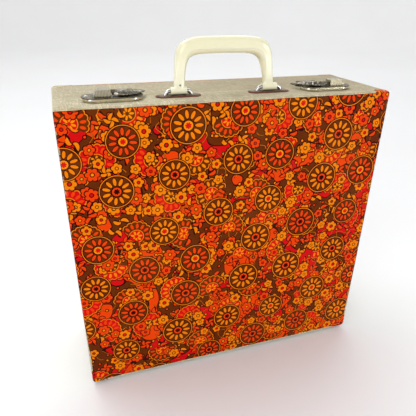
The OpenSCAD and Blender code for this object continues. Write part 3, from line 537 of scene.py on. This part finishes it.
def metal_material(name, base, stain, rough, stained, cloud_size=5.0, patchy=0.5, patch_size=1.9, grain=1.0,
                   rib_pitch=None):
    """Plated metal that has dulled: clouds and patches of tarnish, hollows darkened as painted shade along
    with tarnish, and fine scratches.

    With a rib pitch, the faces towards y are finely ribbed too.
    """
    g = Graph(name)
    pos = g.position()
    cloud = g.noise(pos, cloud_size, 5.0, 0.65)
    fine = g.noise(pos, 0.6, 3.0, 0.6)
    patch = g.noise(pos, patch_size, 3.0, 0.6)
    # painted shade: hollows and places under and between parts, within 3 mm, are darkened, along with the
    # tarnish gathered there
    painted_hollow_shade = 1.0 - g.steps(g.openness(3.0), 0.15, 0.80)
    clouded = g.steps(cloud, 0.62 - stained * 0.35, 0.86 - stained * 0.2)
    tarnish_and_shade = g.clamp(clouded * stained + painted_hollow_shade * 0.8)
    col = g.mix(tarnish_and_shade, base, stain)
    col = g.blotch(col, stain, patchy, patch, 0.50, 0.66)
    col = g.blotch(col, stain, 0.35 * grain, fine, 0.66, 0.74)
    scratch = g.noise(g.stretch(pos, (1.0, 9.0, 4.0)), 1.6, 2.0, 0.6)
    height = scratch * (0.6 * grain) + fine * (0.6 * grain) + cloud + patch * 1.5
    if rib_pitch:
        facing = abs(g.normal()[1]) > 0.7
        rib = g.math("SINE", g.split(pos)[0] * (math.tau / rib_pitch))
        col = g.mix(facing * (g.steps(rib, -0.2, -0.9) * 0.7), col, stain)
        height = height + facing * rib * 0.9
    roughness = rough + tarnish_and_shade * 0.26 + scratch * 0.10
    return g.finish(Base_Color=col, Metallic=1.0, Roughness=roughness, Normal=g.bump(height, 0.03))


def arch_gauge(g, side, up, half_w, rise, power):
    """1 on one outline of the handle's arch, more outside it and less inside."""
    narrow = half_w - HANDLE_LEAN * up / rise
    return ((side / narrow) ** power + (g.math("MAXIMUM", up, 0.0) / rise) ** power) ** (1.0 / power)


def plastic_material():
    """Cream plastic with the moulded ridge that runs round the arch near its inner edge."""
    g = Graph("handle_cream")
    pos = g.position()
    x, y, z = g.split(pos)
    cloud = g.noise(pos, 28.0, 3.0, 0.6)
    col = g.mix(g.steps(cloud, 0.3, 0.75), srgb(251, 248, 219), srgb(246, 240, 205))
    # the arch's own height and side axes, in the lean it has at rest
    tilt = math.radians(HANDLE_TILT)
    up = (y - HANDLE_AXIS_Y) * math.sin(tilt) + (z - HANDLE_AXIS_Z) * math.cos(tilt)
    side = abs(x - HANDLE_MID_X)
    inner = arch_gauge(g, side, up, HANDLE_FOOT_X - LEG_W, HANDLE_RISE - GRIP_H, INNER_POWER) - 1.0
    outer = 1.0 - arch_gauge(g, side, up, HANDLE_FOOT_X, HANDLE_RISE, OUTER_POWER)
    across = inner / (inner + outer)
    arch = up > ARCH_START
    # the grip is laid darker and yellower than the legs
    col = g.blotch(col, srgb(235, 229, 191), 0.8, up, GRIP_START, GRIP_FULL)
    # the ridge lies farther from the inner edge on the grip than on the legs
    ridge_at = g.steps(up, GRIP_START + 2.0, GRIP_FULL - 2.0) * 0.09 + 0.20
    rise = g.steps(across - ridge_at, -0.035, 0.035) * arch
    line = (1.0 - g.steps(abs(across - ridge_at), 0.0, 0.05)) * arch
    # painted shade just inside the ridge, and a painted highlight along the ridge itself
    col = g.mix((across < ridge_at) * arch * 0.08, col, srgb(170, 150, 96))
    col = g.mix(line * 0.6, col, srgb(255, 254, 244))
    # smudges, specks, a chip, and darker, browner creases
    col = g.blotch(col, srgb(150, 140, 110), 0.16, g.noise(pos, 5.0, 4.0, 0.7), 0.62, 0.74)
    col = g.blotch(col, srgb(190, 170, 120), 0.35, g.noise(pos, 0.9, 2.0, 0.5), 0.73, 0.80)
    chip = g.vmath("LENGTH", g.vmath("SUBTRACT", pos, HANDLE_CHIP)) < 1.0
    col = g.mix(chip * 0.8, col, srgb(70, 50, 34))
    crease = 1.0 - g.steps(g.crevice(), 0.40, 0.49)
    col = g.mix(crease * 0.22, col, srgb(176, 150, 100))
    scratch = g.noise(g.stretch(pos, (0.4, 3.0, 1.6)), 1.5, 3.0, 0.65)
    roughness = 0.14 + g.steps(scratch, 0.5, 0.8) * 0.14
    height = cloud * 2.0 + scratch * 0.12 + rise * 7.0
    return g.finish(Base_Color=col, Roughness=roughness, Normal=g.bump(height, 0.08),
                    Coat_Weight=0.9, Coat_Roughness=0.05,
                    Subsurface_Weight=0.06, Subsurface_Radius=(0.003, 0.002, 0.001))


def fibre_material():
    """Mottled red-brown vulcanised fibre."""
    g = Graph("red_fibre")
    pos = g.position()
    grain = g.noise(pos, 0.9, 4.0, 0.7)
    cloud = g.noise(pos, 8.0, 2.0, 0.5)
    col = g.mix(g.steps(cloud, 0.3, 0.7), srgb(96, 40, 26), srgb(128, 62, 40))
    col = g.blotch(col, srgb(60, 26, 18), 0.5, grain, 0.58, 0.75)
    return g.finish(Base_Color=col, Roughness=0.55, Normal=g.bump(grain, 0.08))


def board_material():
    """Bare board, which the coverings hide almost everywhere."""
    g = Graph("bare_board")
    grain = g.noise(g.stretch(g.position(), (0.25, 2.0, 0.25)), 1.8, 4.0, 0.6)
    col = g.mix(g.steps(grain, 0.3, 0.7), srgb(196, 160, 112), srgb(158, 118, 74))
    return g.finish(Base_Color=col, Roughness=0.7, Normal=g.bump(grain, 0.1))


# ---------- which piece has which finish ----------

BOARD = board_material()

FINISH_BY_SLOT = {
    "board": BOARD,
    "hardboard": BOARD,
    "print": print_material(),
    "bookcloth": cloth_material("linen_bookcloth", LINEN, SOIL_AND_SHADE),
    "lining": paper_material("lining_paper", srgb(226, 216, 186), srgb(208, 194, 158)),
    # the plates' dark base is partly tarnish and partly a painted reflection of a dark room
    "nickel": metal_material(
        "dulled_and_shaded_nickel", srgb(116, 105, 78), srgb(36, 29, 17), rough=0.20, stained=0.66),
    "old_nickel": metal_material(
        "tarnished_nickel", srgb(158, 150, 134), srgb(22, 18, 11), rough=0.14, stained=0.75,
        cloud_size=3.4, patchy=0.6, patch_size=3.2, grain=0.3),
    "steel": metal_material(
        "plain_steel", srgb(198, 194, 180), srgb(120, 106, 84), rough=0.28, stained=0.35),
    "chrome": metal_material(
        "chromed_wire", srgb(220, 220, 216), srgb(70, 64, 54), rough=0.05, stained=0.3, patchy=0.3),
    "fibre": fibre_material(),
    "handle_plastic": plastic_material(),
}

# Pieces that look different from the others of their slot
FINISH_BY_PART = {
    "rim_lip": cloth_material(
        "rim_strip_cloth", srgb(206, 194, 160), srgb(160, 142, 108), thread=0.6, depth=0.07),
    "rear_cloth": rear_cloth_material(),
    "latch_pan": metal_material(
        "bright_nickel", srgb(212, 206, 186), srgb(98, 88, 64), rough=0.07, stained=0.34,
        cloud_size=7.0, patchy=0.3),
    "latch_slide": metal_material(
        "ribbed_nickel", srgb(187, 179, 153), srgb(72, 62, 44), rough=0.22, stained=0.24,
        patchy=0.22, rib_pitch=1.3),
    "handle_plate": metal_material(
        "browned_nickel", srgb(142, 122, 94), srgb(52, 34, 20), rough=0.25, stained=0.60),
    "hasp": FINISH_BY_SLOT["old_nickel"],
}


def dress(obj, material):
    """Gives an object this one material."""
    obj.data.materials.clear()
    obj.data.materials.append(material)


for entry in frame["record"]["subparts"]:
    part = entry["node"].removesuffix("_left").removesuffix("_right")
    dress(NODES[entry["node"]], FINISH_BY_PART.get(part, FINISH_BY_SLOT[entry["material_slot"]]))


# ---------- softened edges ----------

EDGE_ROUNDING = {"latch_plate": 0.3, "latch_pan": 0.25, "latch_slide": 0.25, "handle_washer": 0.3,
                 "handle_plate": 0.2, "hasp": 0.2, "hasp_leaf": 0.2}
SHARP_ANGLE = 28.0
WELD_REACH = 0.002


def soften(obj, width):
    """Rounds a CAD node's sharp edges a little, as pressing, turning or folding leaves them."""
    weld = obj.modifiers.new("join", "WELD")
    weld.merge_threshold = WELD_REACH * MM
    bevel = obj.modifiers.new("edge", "BEVEL")
    bevel.width = width * MM
    bevel.segments = 2
    bevel.limit_method = "ANGLE"
    bevel.angle_limit = math.radians(SHARP_ANGLE)
    bevel.harden_normals = True
    bevel.use_clamp_overlap = True


for part, width in EDGE_ROUNDING.items():
    for side in SIDES:
        soften(NODES[part + "_" + side], width)


# ---------- return springs ----------

def new_object(name, bm):
    """Puts a finished bmesh into the scene as an object."""
    mesh = bpy.data.meshes.new(name)
    bm.to_mesh(mesh)
    bm.free()
    obj = bpy.data.objects.new(name, mesh)
    bpy.context.scene.collection.objects.link(obj)
    return obj


SPRING_WIRE_R, SPRING_TURNS = 0.22 * MM, 11
SPRING_STEPS, WIRE_SIDES = 24, 10


def coil(start, middle, coil_r, lead, run):
    """A wire wound round the x axis, from start towards run, as a closed mesh."""
    bm = bmesh.new()
    rings = []
    for i in range(SPRING_TURNS * SPRING_STEPS + 1):
        turn = math.tau * i / SPRING_STEPS
        along = SPRING_WIRE_R + lead * i / (SPRING_TURNS * SPRING_STEPS)
        ring = []
        for k in range(WIRE_SIDES):
            around = math.tau * k / WIRE_SIDES
            r = coil_r + SPRING_WIRE_R * math.cos(around)
            x = start + run * (along + SPRING_WIRE_R * math.sin(around))
            ring.append(bm.verts.new((x, middle.y + r * math.cos(turn), middle.z + r * math.sin(turn))))
        rings.append(ring)
    for a, b in zip(rings, rings[1:]):
        for k in range(WIRE_SIDES):
            n = (k + 1) % WIRE_SIDES
            bm.faces.new((a[k], a[n], b[n], b[k])).smooth = True
    bm.faces.new(rings[0])
    bm.faces.new(reversed(rings[-1]))
    bmesh.ops.recalc_face_normals(bm, faces=bm.faces)
    return bm


def return_spring(side, run):
    """A slide's return spring: a coiled wire that takes the CAD spring's place, wound from its outer end
    and carried by the front section.
    """
    low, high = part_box("latch_spring_" + side)
    middle = (low + high) / 2.0
    start = low.x if run > 0.0 else high.x
    length = high.x - low.x
    coil_r = (high.z - low.z) / 2.0 - SPRING_WIRE_R
    lead = length - 2.0 * SPRING_WIRE_R
    spring = new_object("return_spring_" + side, coil(start, middle, coil_r, lead, run))
    dress(spring, FINISH_BY_SLOT["steel"])
    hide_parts("latch_spring_" + side)
    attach(spring, "front_section")
    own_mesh(spring)


return_spring("left", 1.0)
return_spring("right", -1.0)


# ---------- stage, light and camera ----------

WALL_R, WALL_H = 4.5, 2.6
SWEEP_R, SWEEP_STEPS = 0.9, 16
FLOOR_SIDES = 96
MERGE_REACH = 1e-5


def stage_floor():
    """A wide round floor that sweeps up into a low wall far from the case."""
    profile = [(0.0, 0.0)]
    for i in range(SWEEP_STEPS + 1):
        angle = math.radians(90.0 * i / SWEEP_STEPS)
        profile.append((WALL_R - SWEEP_R + SWEEP_R * math.sin(angle), SWEEP_R - SWEEP_R * math.cos(angle)))
    profile.append((WALL_R, WALL_H))
    bm = bmesh.new()
    line = [bm.verts.new((r, 0.0, z)) for r, z in profile]
    edges = [bm.edges.new(pair) for pair in zip(line, line[1:])]
    bmesh.ops.spin(bm, geom=line + edges, cent=(0.0, 0.0, 0.0), axis=(0.0, 0.0, 1.0),
                   angle=math.tau, steps=FLOOR_SIDES)
    bmesh.ops.remove_doubles(bm, verts=bm.verts, dist=MERGE_REACH)
    bmesh.ops.recalc_face_normals(bm, faces=bm.faces)
    for face in bm.faces:
        face.smooth = True
    floor = new_object("floor", bm)
    g = Graph("pale_floor")
    col = g.mix(g.noise(g.position(), 400.0, 2.0), srgb(248, 248, 248), srgb(244, 243, 242))
    dress(floor, g.finish(Base_Color=col, Roughness=0.6))


# The room is dim up to the first y of a direction and bright from the second on
ROOM_COLOUR = (0.95, 0.97, 1.0, 1.0)
DIM_UP_TO, BRIGHT_FROM = -0.5, 0.6
ROOM_DIM, ROOM_BRIGHT = 0.34, 0.92

# Name, place, target, width and height, and power of each lamp
LAMPS = (
    ("key", (-1.2, -1.6, 1.7), (0.0, 0.0, 0.2), (1.4, 1.1), 14.0),
    ("fill", (1.5, -1.85, 0.75), (0.0, 0.0, 0.3), (0.45, 1.4), 7.4),
    ("card", (1.1, -1.25, 0.22), (0.13, 0.0, 0.33), (0.35, 0.5), 1.2),
    ("window", (-1.9, -1.3, 0.7), (0.0, 0.0, 0.3), (0.7, 0.9), 6.0),
    ("top", (-0.6, 0.5, 2.1), (0.0, 0.0, 0.3), (1.5, 1.0), 12.0),
    ("far", (0.8, 2.6, 3.2), (0.8, 2.6, 0.0), (5.0, 2.5), 46.0),
)


def pale_room():
    """World light that is dim in front of the case and brightest behind it."""
    world = bpy.data.worlds.new("studio")
    bpy.context.scene.world = world
    world.use_nodes = True
    tree = world.node_tree
    background = tree.nodes["Background"]
    background.inputs["Color"].default_value = ROOM_COLOUR
    direction = tree.nodes.new("ShaderNodeTexCoord")
    parts = tree.nodes.new("ShaderNodeSeparateXYZ")
    ramp = tree.nodes.new("ShaderNodeMapRange")
    ramp.interpolation_type = "SMOOTHSTEP"
    for name, value in (("From Min", DIM_UP_TO), ("From Max", BRIGHT_FROM),
                        ("To Min", ROOM_DIM), ("To Max", ROOM_BRIGHT)):
        ramp.inputs[name].default_value = value
    tree.links.new(direction.outputs["Generated"], parts.inputs[0])
    tree.links.new(parts.outputs["Y"], ramp.inputs["Value"])
    tree.links.new(ramp.outputs[0], background.inputs["Strength"])


def area_light(name, place, target, size, power):
    """A soft rectangular lamp that faces its target."""
    data = bpy.data.lights.new(name, "AREA")
    data.shape = "RECTANGLE"
    data.size, data.size_y = size
    data.energy = power
    lamp = bpy.data.objects.new(name, data)
    bpy.context.scene.collection.objects.link(lamp)
    lamp.location = place
    lamp.rotation_mode = "QUATERNION"
    lamp.rotation_quaternion = (Vector(target) - Vector(place)).to_track_quat("-Z", "Y")


IMAGE_PX, FOCAL_PX, CENTRE_DOWN_PX = 416.0, 431.4, 13.0
SENSOR_W = 36.0
CAMERA_AT = (-0.1660, -0.4515, 0.4187)
YAW, PITCH, ROLL = math.radians(18.73), math.radians(27.42), math.radians(0.91)


def place_camera():
    """The photograph's camera, worked out from the case's corners."""
    data = bpy.data.cameras.new("camera")
    cam = bpy.data.objects.new("camera", data)
    bpy.context.scene.collection.objects.link(cam)
    ahead = Vector((math.sin(YAW) * math.cos(PITCH), math.cos(YAW) * math.cos(PITCH), -math.sin(PITCH)))
    level = Vector((math.cos(YAW), -math.sin(YAW), 0.0))
    upward = level.cross(ahead)
    right = math.cos(ROLL) * level + math.sin(ROLL) * upward
    up = -math.sin(ROLL) * level + math.cos(ROLL) * upward
    cam.rotation_mode = "QUATERNION"
    cam.rotation_quaternion = Matrix((right, up, -ahead)).transposed().to_quaternion()
    cam.location = CAMERA_AT
    data.sensor_width = SENSOR_W
    data.lens = SENSOR_W * FOCAL_PX / IMAGE_PX
    data.shift_y = CENTRE_DOWN_PX / IMAGE_PX
    data.clip_start, data.clip_end = 0.01, 20.0
    bpy.context.scene.camera = cam


stage_floor()
pale_room()
for lamp in LAMPS:
    area_light(*lamp)
place_camera()
bpy.context.scene.view_settings.view_transform = "Standard"
